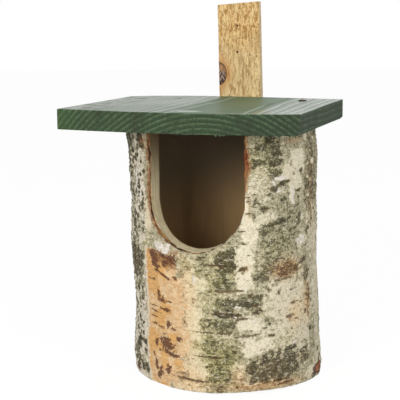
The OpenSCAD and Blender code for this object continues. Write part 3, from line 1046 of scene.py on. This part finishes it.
roof = {
    "columns": 134,
    "rows": 110,
    "layers": 8,
    "bevel": 0.8 * mm,
    "pith": (10 * mm, -92 * mm),  # to the right of the axis, and up from the board's underside
    "ringGap": 4.0 * mm,
    # how much the rings show along the top: places from left to right, and how much there
    "ringShow": ([-60, -46, -40, -14, -6, 34, 40], [0.25, 0.25, 0.85, 0.85, 0.06, 0.06, 1]),
    # how the rings wander along the board: how far, and over what length
    "sway": (0.5 * mm, 34 * mm),
    "slowSway": (0.2 * mm, 13 * mm, 50 * mm),
    "frontSag": 1.0 * mm,
    "backArch": 1.6 * mm,
    "leftRise": 0.7 * mm,
    "undercut": 2.4 * mm,  # the front right corner's foot
    "edge": 0.3 * mm,  # how far from a face its marks fade out
    "splinters": 1.5 * mm,
    "cornerRise": 1.0 * mm,  # at the underside of the back right corner
    "scuff": (-10.5, 17, 13, 6),  # a worn spot on the top: place from the middle and the front, half size
}


def buildRoof():
    size = roofHigh - roofLow
    middle = (roofHigh + roofLow) / 2
    piece = newGrid("roofBoard", roof["columns"], roof["rows"])
    x, y, z = getPoints(piece).T
    setPoints(piece, stacked(middle.x + x * size.x, middle.y + y * size.y, roofHigh.z))
    makeBoard(piece, (0, 0, -size.z / roof["layers"]), roof["layers"], roof["bevel"])
    points = getPoints(piece)
    x, y, z = points.T
    aside = (x - middle.x) / (size.x / 2)
    back = (y - roofLow.y) / size.y
    up = (z - roofLow.z) / size.z
    away = np.hypot(x - roof["pith"][0], z - roofLow.z - roof["pith"][1])
    phase = (away + ringSway(x, y)) / roof["ringGap"] % 1
    ridge = step(0.5, 0.88, phase) * step(1, 0.92, phase)
    fine, broad = fuzz(points / mm, 1.5, 41, 2), fuzz(points / mm, 12, 42, 3)
    edge = roof["edge"]
    onTop = step(roofHigh.z - edge, roofHigh.z, z)
    onFront, onBack = step(roofLow.y + edge, roofLow.y, y), step(roofHigh.y - edge, roofHigh.y, y)
    onLeft, onRight = step(roofLow.x + edge, roofLow.x, x), step(roofHigh.x - edge, roofHigh.x, x)
    strong = 1 - onTop * (1 - np.interp(x / mm, *roof["ringShow"]))
    topMove = 0.12 * ridge * strong + 0.03 * fine + 0.08 * broad
    endMove = 0.14 * ridge + 0.14 * fine - 0.3
    sideMove = 0.2 * broad + 0.1 * fine - 0.3
    line = stacked(x / mm, 90 * onBack, 0)
    hairy = step(0.2, 0, up) * (onFront + 0.6 * onBack) * (0.35 + 0.65 * step(-30 * mm, 20 * mm, x))
    splinter = hairy * (0.4 + 2.2 * fuzz(line, 1.3, 43, 3) + 0.8 * fuzz(line, 9, 44))
    corner = step(0.5, 0, up) * step(0.9, 1, aside) * step(0.93, 1, back)
    undercut = step(0.9, 1, aside) * (1 - up) * (1 - back) * roof["undercut"]
    x = x + (onRight - onLeft) * sideMove * mm - undercut
    y = y + (onBack - onFront) * endMove * mm
    z = z + onTop * topMove * mm + roofCup(aside, back) + corner * roof["cornerRise"]
    z = z - roof["splinters"] * np.maximum(splinter, 0)
    setPoints(piece, stacked(x, y, z))
    fromFront = y - roofLow.y
    # a painted highlight: a pale line along the front top edge, on the right; the scuff below is a worn spot
    wear = step(3 * mm, 0.8 * mm, fromFront) * step(0, 45 * mm, x) * onTop
    scuffX, scuffY, wide, tall = roof["scuff"]
    scuff = np.hypot((x / mm - scuffX) / wide, (fromFront / mm - scuffY) / tall)
    wear = np.maximum(wear, 0.9 * onTop * step(1.15, 0.8, scuff))
    keep(piece, top=onTop, grain=strong, wear=wear)
    smooth(piece, 50)
    return piece


def roofCup(aside, back):
    # the board has sagged a little in front and arched behind
    cup = (1 - aside ** 2) * (back * roof["backArch"] * (0.7 - 0.5 * aside) - (1 - back) * roof["frontSag"])
    return cup + roof["leftRise"] * (1 - back) * np.clip(-aside, 0, 1)


def ringSway(x, y):
    far, wide = roof["sway"]
    slow, wideY, wideX = roof["slowSway"]
    return far * np.sin(y / wide + 1) + slow * np.sin(y / wideY + x / wideX)


def roofMaterial():
    material, tree, shader, where = newMaterial("greenStain")
    x, y, z = partsOf(where)
    top, strong = valueOf(tree, "top"), valueOf(tree, "grain")
    far, wide = roof["sway"]
    slow, wideY, wideX = roof["slowSway"]
    sway = times(calc("SINE", timesPlus(y, 1 / wide, 1.0)), far)
    slowSway = times(calc("SINE", plus(ratio(y, wideY), ratio(x, wideX))), slow)
    away = distanceOf(minus(x, roof["pith"][0]), minus(z, roofLow.z + roof["pith"][1]))
    away = stirred(plus(away, sway, slowSway), speckle(where, 6, detail=3, scale=(1, 0.12, 1)), 1.3 * mm)
    ring = calc("FRACT", ratio(away, roof["ringGap"]))
    line = times(fade(ring, 0.4, 0.86), fade(ring, 1.0, 0.9))
    hollow = times(fade(ring, 0.0, 0.12), fade(ring, 0.4, 0.12), strong)
    fibre = speckle(where, 0.9, detail=3, rough=0.7, scale=(1, 0.04, 1))
    patch = speckle(where, 20, detail=4, scale=(1, 0.4, 1))
    crumb = speckle(where, 1.3, detail=3, rough=0.7)
    blotch = speckle(where, 7, detail=4)
    uneven = times(spread(crumb, 0.3, 0.6, 0.12, 0.56), spread(blotch, 0.62, 0.42, 0.3, 1.0))
    # a dark mark, a check and blotches in the left part of the top, and a dull middle
    markX, markY = ratio(plus(x, 90 * mm), 4.5 * mm), ratio(minus(y, 43 * mm), 8 * mm)
    mark = fade(plus(times(markX, markX), times(markY, markY)), 1.4, 0.3)
    check = calc("ABSOLUTE", plus(x, slowSway, 83 * mm))
    mark = calc("MAXIMUM", mark, times(fade(check, 0.7 * mm, 0.3 * mm), top))
    blotched = times(fade(x, -70 * mm, -104 * mm), fade(blotch, 0.46, 0.6), 0.8)
    mark = calc("MAXIMUM", mark, blotched)
    dull = times(fade(x, -30 * mm, -12 * mm), fade(x, 50 * mm, 40 * mm))
    base = layered(
        "2a3824", (fade(fibre, 0.35, 0.65), "3c4c32"),
        (fade(patch, 0.45, 0.62, 0.7), "32462e"),
        (fade(blotch, 0.5, 0.64, 0.6), "303424"),
        (fade(x, 0, 70 * mm, 0.35), "243024"),
        (fade(x, -90 * mm, -110 * mm, 0.5), "3c5a2e"),
        (times(line, uneven, strong), "627456"),
        (fade(crumb, 0.56, 0.7, 0.35), "64725a"),
        (fade(crumb, 0.42, 0.32, 0.5), "222e22"),
        (times(hollow, 0.3), "222e1e"), (times(top, 0.5), "486836"),
        (times(top, mark, 0.7), "383e22"), (times(top, dull, 0.65), "587458"),
        # painted reflection: the right part of the top is paler, as the white sheen seen there
        (times(top, fade(x, 34 * mm, 52 * mm, 0.45)), "8e9e8a"),
        # painted highlights: near-white lines along the top's raised rings, as the light they catch
        (times(top, strong, fade(ring, 0.7, 0.9, 0.75), fade(ring, 1.0, 0.94)), "b4c0b2"),
        # pale where the top is scuffed, and a painted highlight along the front top edge
        (times(valueOf(tree, "wear"), spread(crumb, 0.35, 0.6, 0.3, 1.0)), "d2dacc"))
    gloss = spread(patch, 0.4, 0.65, 0.26, 0.32)
    for mask, amount in ((hollow, 0.14), (dull, 0.2), (mark, 0.2)):
        gloss = timesPlus(mask, amount, gloss)
    sides = minus(1.0, top)
    relief = plus(times(line, strong, 0.8), times(fibre, 0.4), times(hollow, -0.5), times(sides, crumb, 1.2))
    dress(shader, base, plus(times(gloss, top), times(sides, 0.85)), relief, 0.2 * mm, 0.6)
    return material


roofPiece = buildRoof()
finishPiece(roofPiece, roofMaterial(), "roof_stain", "roof_board")
print("roof", len(roofPiece.data.polygons))

# the batten

batten = {
    "columns": 38,
    "rows": 300,
    "layers": 6,
    "bevel": 0.6 * mm,
    "slope": 4,  # of the sawn top, in degrees
    "lean": 1.2,
    "taper": 0.5 * mm,
    "pilots": [20 * mm, 43.5 * mm],  # below the middle of the sawn top
    "pilotPlace": -11 * mm,
    "pilotRadius": 1.15 * mm,
    # ovals of the knot and its heart: place, height and half size
    "knot": (-28.5 * mm, 249 * mm, 7.6 * mm, 10.4 * mm),
    "core": (-27 * mm, 245.5 * mm, 5.6 * mm, 6.2 * mm),
    # small nicks in the face: place, height and half size
    "nicks": [
        (1, 266, 0.7), (7, 265, 0.8), (-18.5, 229.5, 0.8), (-2, 256, 0.5), (5, 281, 0.5), (-14, 270, 0.5),
        (8, 244, 0.5), (-6, 303, 0.5), (-19, 296, 0.5)],
}


def battenShift(z):
    # the batten leans to one side
    return (roofHigh.z - z) * math.tan(math.radians(batten["lean"]))


def buildBatten():
    size = battenHigh - battenLow
    lean = math.tan(math.radians(batten["lean"]))
    slope = math.tan(math.radians(batten["slope"]))
    width = (size.x - size.z * lean) / (1 - slope * lean / 2)
    drop = width * slope
    middle = battenHigh.x - width / 2 - battenShift(battenLow.z)
    piece = newGrid("battenWood", batten["columns"], batten["rows"])
    flat = getPoints(piece)
    z = battenLow.z + (flat[:, 1] + 0.5) * (size.z - drop * (0.5 - flat[:, 0]))
    narrowed = width - batten["taper"] * step(240 * mm, 312 * mm, z)
    setPoints(piece, stacked(middle + battenShift(z) + flat[:, 0] * narrowed, battenLow.y, z))
    makeBoard(piece, (0, size.y / batten["layers"], 0), batten["layers"], batten["bevel"])
    for below in batten["pilots"]:
        drill = addPrimitive(
            bpy.ops.mesh.primitive_cylinder_add, vertices=24, radius=batten["pilotRadius"], depth=30 * mm,
            location=(batten["pilotPlace"], battenLow.y, battenHigh.z - drop / 2 - below),
            rotation=(math.radians(90), 0, 0))
        cutWith(piece, drill)
    points = getPoints(piece)
    x, y, z = points.T
    tilted = stacked(x + 0.3 * z, y, z) / mm
    rough = 0.18 * fuzz(tilted, 1.4, 51, 3, along=2) + 0.12 * fuzz(points / mm, 14, 52, 2) - 0.2
    edge = 0.4 * mm
    out = step(battenHigh.y - edge, battenHigh.y, y) - step(battenLow.y + edge, battenLow.y, y)
    fromMiddle = x - middle - battenShift(z)
    onSide = np.sign(fromMiddle) * (np.abs(fromMiddle) > width / 2 - 2 * edge)
    aside = onSide * (rough + 0.12 * fuzz(points / mm, 5, 53))
    setPoints(piece, stacked(x + aside * mm, y + out * rough * mm, z))
    smooth(piece, 40)
    return piece


def ovalDistance(x, z, oval):
    # 0 in the middle of an oval, 1 on its outline
    middleX, middleZ, wide, tall = oval
    return distanceOf(ratio(minus(x, middleX), wide), ratio(minus(z, middleZ), tall))


def battenMaterial():
    material, tree, shader, where = newMaterial("sawnWood")
    x, y, z = partsOf(where)
    slanted = math.radians(-22)
    curl = place(where, scale=(1, 1, 0.45), rotation=(0, slanted, 0))
    curl = speckle(curl, 1.2, detail=3, rough=0.6, twist=1.2)
    upright = speckle(where, 0.9, detail=3, rough=0.6, twist=0.5, scale=(1, 1, 0.2))
    thread = speckle(where, 0.6, detail=2, scale=(1, 1, 0.15), location=(0.3, 0, 0))
    patch = speckle(where, 12, detail=3, scale=(1, 1, 0.6))
    check = speckle(where, 0.9, detail=2, rotation=(0, math.radians(40), 0), scale=(1, 1, 0.5))
    low = fade(z, 285 * mm, 255 * mm)
    # painted light: faces turned to the sides are paler, as the light falling on them
    facing = partsOf(newNode("NewGeometry", {}, tree).outputs["Normal"])[0]
    onSide = fade(calc("ABSOLUTE", facing), 0.6, 0.9, 0.4)
    # the knot, with a seam round it and a checked heart
    away = ovalDistance(x, z, batten["knot"])
    halo = fade(stirred(away, patch, 0.5), 2.3, 0.9, 0.75)
    seam = times(fade(away, 0.86, 0.95), fade(away, 1.05, 0.98), 0.85)
    core = stirred(ovalDistance(x, z, batten["core"]), curl, 0.8)
    heart = blend(fade(check, 0.46, 0.56), "422e28", "a48c7c")
    knot = layered(
        "8c6240", (fade(curl, 0.4, 0.6), "bc926c"), (fade(core, 1.15, 0.85), heart))
    base = layered(
        "ac7e44", (fade(curl, 0.42, 0.57), "e6c184"),
        (fade(thread, 0.5, 0.66, 0.7), "f6deaa"),
        # the second shade here is painted light: the lower part is made lighter to offset the shade that
        # falls there near the roof
        (fade(patch, 0.5, 0.66, 0.4), "ba9458"), (times(low, 0.5), "ffe6b0"),
        (times(low, fade(upright, 0.51, 0.58, 0.66)), "a27540"),
        # painted light on the side faces, then the halo round the knot
        (onSide, "e2d0b0"), (halo, "ca8e54"),
        (fade(away, 1.0, 0.94), knot), (seam, "4a3026"))
    for nickX, nickZ, half in batten["nicks"]:
        spot = ovalDistance(x, z, (nickX * mm, nickZ * mm, half * mm, half * mm))
        base = blend(fade(spot, 1.3, 0.5, 0.85), base, "603e22")
    dress(shader, base, 0.8, plus(times(curl, 0.9), times(thread, 0.5)), 0.5 * mm, 0.8)
    return material


battenPiece = buildBatten()
finishPiece(battenPiece, battenMaterial(), "batten_wood", "batten")
print("batten", len(battenPiece.data.polygons))

# the floor disc

floorDisc = {"columns": 128, "rings": 34, "edgeRows": 9, "bevel": 0.8 * mm}


def buildFloorDisc():
    # a turned profile: out over the top, down the edge and back under the foot
    radius = (floorHigh.x - floorLow.x) / 2
    bevel = floorDisc["bevel"]
    rings = np.linspace(0, radius - bevel, floorDisc["rings"])
    edge = np.linspace(floorHigh.z - bevel, floorLow.z + bevel, floorDisc["edgeRows"])
    profile = [(r, floorHigh.z) for r in rings] + [(radius, h) for h in edge]
    profile += [(r, floorLow.z) for r in rings[::-1]]
    piece, row, angle, out, height = newTube("floorDisc", floorDisc["columns"], profile)
    points = around(angle, out, height)
    grained = points / mm * np.array([1, 0.15, 1])
    sawn = 0.14 * fuzz(grained, 2.4, 61, 3) + 0.1 * fuzz(grained, 9, 62, 2)
    flatFace = (row > 0) & (out < radius - 0.5 * mm)
    inward = np.where(height > floorScrewHeight, -1, 1)
    points[:, 2] += flatFace * inward * (0.15 + np.maximum(sawn, -0.15)) * mm
    setPoints(piece, points)
    mergeClose(piece)
    faceOutwards(piece)
    smooth(piece, 35)
    return piece


def floorMaterial():
    material, tree, shader, where = newMaterial("floorWood")
    turned = place(where, rotation=(math.radians(90), 0, 0), location=(0.03, 0.06, 0))
    grain = useGroup(woodGrain, Vector=turned, Spacing=4.2 * mm, Wobble=6 * mm)
    base = layered(
        "b89664", (fade(grain["Fibre"], 0.35, 0.65), "d8bc8a"),
        (times(grain["Line"], 0.5), "9e7040"),
        (fade(speckle(where, 20, detail=3), 0.52, 0.68, 0.35), "8c7454"))
    dress(shader, base, 0.8, grain["Fibre"], 0.3 * mm, 0.5)
    return material


finishPiece(buildFloorDisc(), floorMaterial(), "floor_wood", "floor_disc")
print("floor disc")

# the screws, modelled once for each length with the head's face at the origin

screw = {
    "columns": 48,
    "head": 3.5 * mm,
    "headDepth": 2.2 * mm,
    "headRows": 16,
    "shank": 1.65 * mm,
    "hole": 1.9 * mm,
    "drillOver": 4 * mm,  # how far the countersink's drill stands out over the head
    "core": 1.25 * mm,
    "pitch": 1.8 * mm,
    "point": 5 * mm,
    "plain": 0.3,  # the share of the length that has no thread
    "slotWidth": 0.45 * mm,
    "slotReach": 1.9 * mm,
    "slotDepth": 1.3 * mm,
    "filledDepth": 0.1 * mm,
    "long": 40 * mm,
    "short": 22 * mm,
}


def buildScrew(name, length, slotDepth=screw["slotDepth"]):
    head, shank, depth, faceRows = screw["head"], screw["shank"], screw["headDepth"], screw["headRows"]
    profile = [(r, 0) for r in np.linspace(0, head - 0.2 * mm, faceRows)]
    profile += [(head, -0.15 * mm), (head, -0.35 * mm), (shank + 0.1 * mm, -depth)]
    steps = int((length - depth) / screw["pitch"] * 6)
    profile += [(shank, z) for z in np.linspace(-depth - 0.3 * mm, -length, steps)]
    piece, row, angle, radius, z = newTube(name, screw["columns"], profile)
    thread = np.abs((z / screw["pitch"] + angle / math.tau) % 1 - 0.5) * 2
    plain = -length * screw["plain"]
    groove = step(plain, plain - screw["pitch"], z) * step(0.15, 0.8, thread) * (shank - screw["core"])
    radius = np.where(row > faceRows + 2, shank - groove, radius)
    radius = radius * np.clip((z + length) / screw["point"], 0, 1) ** 0.8
    points = around(angle, radius, z)
    across = np.abs(points[:, :2]).min(axis=1)
    slot = step(screw["slotWidth"] + 0.2 * mm, screw["slotWidth"], across)
    slot = slot * step(screw["slotReach"], 0.9 * mm, radius)
    slot = np.maximum(slot, step(1.0 * mm, 0.5 * mm, radius)) * (row < faceRows)
    points[:, 2] -= slot * slotDepth
    setPoints(piece, points)
    # the slot and the shank are marked, to be darker
    keep(piece, dirt=slot + (row >= faceRows), top=row <= faceRows)
    mergeClose(piece, 0.005 * mm)
    faceOutwards(piece)
    smooth(piece, 40)
    return piece


def screwMaterial(name, plain, rusty, shine):
    material, tree, shader, where = newMaterial(name)
    crumb = speckle(where, 0.9, detail=4, rough=0.7)
    base = layered(
        # darker in the slot and on the shank
        plain, (fade(crumb, 0.4, 0.6), rusty), (times(valueOf(tree, "dirt"), 0.8), "241a14"))
    feed(shader.inputs["Metallic"], spread(crumb, 0.55, 0.42, 0.1 * shine, shine))
    dress(shader, base, spread(crumb, 0.4, 0.6, 0.45, 0.85), crumb, 0.1 * mm, 0.6)
    return material


def screwSeat(node, out):
    # the middle of a CAD screw's head, which looks in the direction out
    points = getPoints(nodes[node])
    far = points @ np.array(out)
    return Vector(points[far > far.max() - 0.02 * mm].mean(axis=0))


def turnedTo(out, seat):
    # takes what looks up at the origin to a place where it looks in another direction
    return Matrix.Translation(seat) @ Vector(out).to_track_quat("Z", "Y").to_matrix().to_4x4()


def placeScrew(model, node, out, raised, material):
    bpy.ops.object.select_all(action="DESELECT")
    piece = model.copy()
    piece.data = model.data.copy()
    bpy.context.collection.objects.link(piece)
    piece.name = piece.data.name = node[0] + node.title().replace("_", "")[1:]
    seat = screwSeat(node, out) + Vector(out) * raised
    spin = Matrix.Rotation(0.7 + 3.1 * len(node) + 7 * seat.x / mm, 4, "Z")
    piece.data.transform(turnedTo(out, seat) @ spin)
    finishPiece(piece, material, "screw_steel", node)


def sinkScrew(piece, node, out, raised, gap=0.3 * mm):
    # bores the countersink for a screw in the piece that it holds
    depth = screw["headDepth"]
    drill = addPrimitive(
        bpy.ops.mesh.primitive_cone_add, vertices=32, radius1=screw["hole"], radius2=screw["head"] + gap,
        depth=depth)
    openFaces(drill, [face.normal.z > 0.9 for face in drill.data.polygons])
    bpy.ops.mesh.extrude_region_move(TRANSFORM_OT_translate={"value": (0, 0, screw["drillOver"])})
    objectMode()
    drill.data.transform(turnedTo(out, screwSeat(node, out) + Vector(out) * (raised - depth / 2 + 0.05 * mm)))
    cutWith(piece, drill)


steel = screwMaterial("rustedScrew", "484038", "784226", 0.8)
rusty = screwMaterial("rustyScrew", "9c5c30", "5c3620", 0.1)
longScrew = buildScrew("longScrew", screw["long"])
filledScrew = buildScrew("filledScrew", screw["long"], screw["filledDepth"])
shortScrew = buildScrew("shortScrew", screw["short"])
stained = roofPiece.data.materials[0]
for side, model, deep, gap, material in (("left", filledScrew, -0.02 * mm, -0.05 * mm, stained),
                                         ("right", longScrew, -0.9 * mm, 0.3 * mm, steel)):
    node = "roof_screw_" + side
    seat = screwSeat(node, (0, 0, 1))
    aside = (2 * seat.x - roofHigh.x - roofLow.x) / (roofHigh.x - roofLow.x)
    raised = roofCup(aside, (seat.y - roofLow.y) / (roofHigh.y - roofLow.y)) - deep
    sinkScrew(roofPiece, node, (0, 0, 1), raised, gap)
    placeScrew(model, node, (0, 0, 1), raised, material)
for level in ("lower", "upper"):
    sinkScrew(battenPiece, "batten_screw_" + level, (0, 1, 0), -0.4 * mm)
    placeScrew(shortScrew, "batten_screw_" + level, (0, 1, 0), -0.4 * mm, steel)
for node, toward in floorScrews.items():
    turn = math.radians(toward)
    out = Vector((math.cos(turn), math.sin(turn), 0))
    surface = float(logRadius(turn, floorScrewHeight)) + leanShift(floorScrewHeight) * out.x
    placeScrew(longScrew, node, out, surface - screwSeat(node, out).dot(out) - 0.2 * mm,
               rusty if node == "floor_screw_right" else steel)
for model in (longScrew, filledScrew, shortScrew):
    bpy.data.objects.remove(model)
print("screws")

# camera, floor and light

view = {
    "place": Vector((276.96, -931.13, 298.54)) * mm,
    "turn": 17.84,
    "down": 8.94,
    "roll": -0.42,
    "lens": 103.8,
    "floorRadius": 6,
    "floorGrey": 0.95,
    "floorGlow": 1.04,
    "skyLight": 0.48,
    # lamps: name, place, side and power
    "lamps": [("keyLamp", (-0.28, -1.5, 0.66), 0.5, 10), ("fillLamp", (1.2, -1.0, 0.7), 1.0, 7.6)],
    "lampAim": Vector((0, 0, 0.15)),
}


def makeCamera():
    data = bpy.data.cameras.new("camera")
    data.lens = view["lens"]
    data.sensor_width = 36
    camera = bpy.data.objects.new("camera", data)
    bpy.context.collection.objects.link(camera)
    camera.location = view["place"]
    turn = Matrix.Rotation(math.radians(view["turn"]), 3, "Z")
    tilt = Matrix.Rotation(math.radians(90 - view["down"]), 3, "X")
    roll = Matrix.Rotation(math.radians(view["roll"]), 3, "Z")
    camera.rotation_euler = (turn @ tilt @ roll).to_euler()
    bpy.context.scene.camera = camera


def makeFloor():
    floor = addPrimitive(
        bpy.ops.mesh.primitive_circle_add, vertices=64, radius=view["floorRadius"], fill_type="NGON",
        location=(0, 0, -0.2 * mm))
    floor.name = "studioFloor"
    bpy.ops.object.transform_apply()
    material = bpy.data.materials.new("studioFloor")
    material.use_nodes = True
    tree = material.node_tree
    tree.nodes.clear()
    grey = view["floorGrey"]
    matt = newNode("BsdfDiffuse", {"Color": (grey, grey, grey, 1)}, tree)
    glow = newNode("Emission", {"Color": (1, 1, 1, 1), "Strength": view["floorGlow"]}, tree)
    seen = times(newNode("LightPath", {}, tree).outputs["Is Camera Ray"], 0.9)
    both = newNode("MixShader", {0: seen, 1: matt.outputs[0], 2: glow.outputs[0]})
    newNode("OutputMaterial", {"Surface": both.outputs[0]})
    floor.data.materials.append(material)


def makeWorld():
    world = bpy.data.worlds.new("studio")
    bpy.context.scene.world = world
    world.use_nodes = True
    tree = world.node_tree
    back = tree.nodes["Background"]
    path = newNode("LightPath", {}, tree).outputs
    seen = calc("MAXIMUM", path["Is Camera Ray"], path["Is Glossy Ray"])
    back.inputs["Color"].default_value = (1, 1, 1, 1)
    feed(back.inputs["Strength"], timesPlus(seen, 1 - view["skyLight"], view["skyLight"]))


def makeLamp(name, place, size, power):
    data = bpy.data.lights.new(name, "AREA")
    data.shape = "SQUARE"
    data.size = size
    data.energy = power
    lamp = bpy.data.objects.new(name, data)
    bpy.context.collection.objects.link(lamp)
    lamp.location = place
    lamp.visible_glossy = False
    lamp.rotation_euler = (view["lampAim"] - Vector(place)).to_track_quat("-Z", "Y").to_euler()


makeCamera()
makeFloor()
makeWorld()
for lamp in view["lamps"]:
    makeLamp(*lamp)
bpy.context.scene.view_settings.view_transform = "Standard"
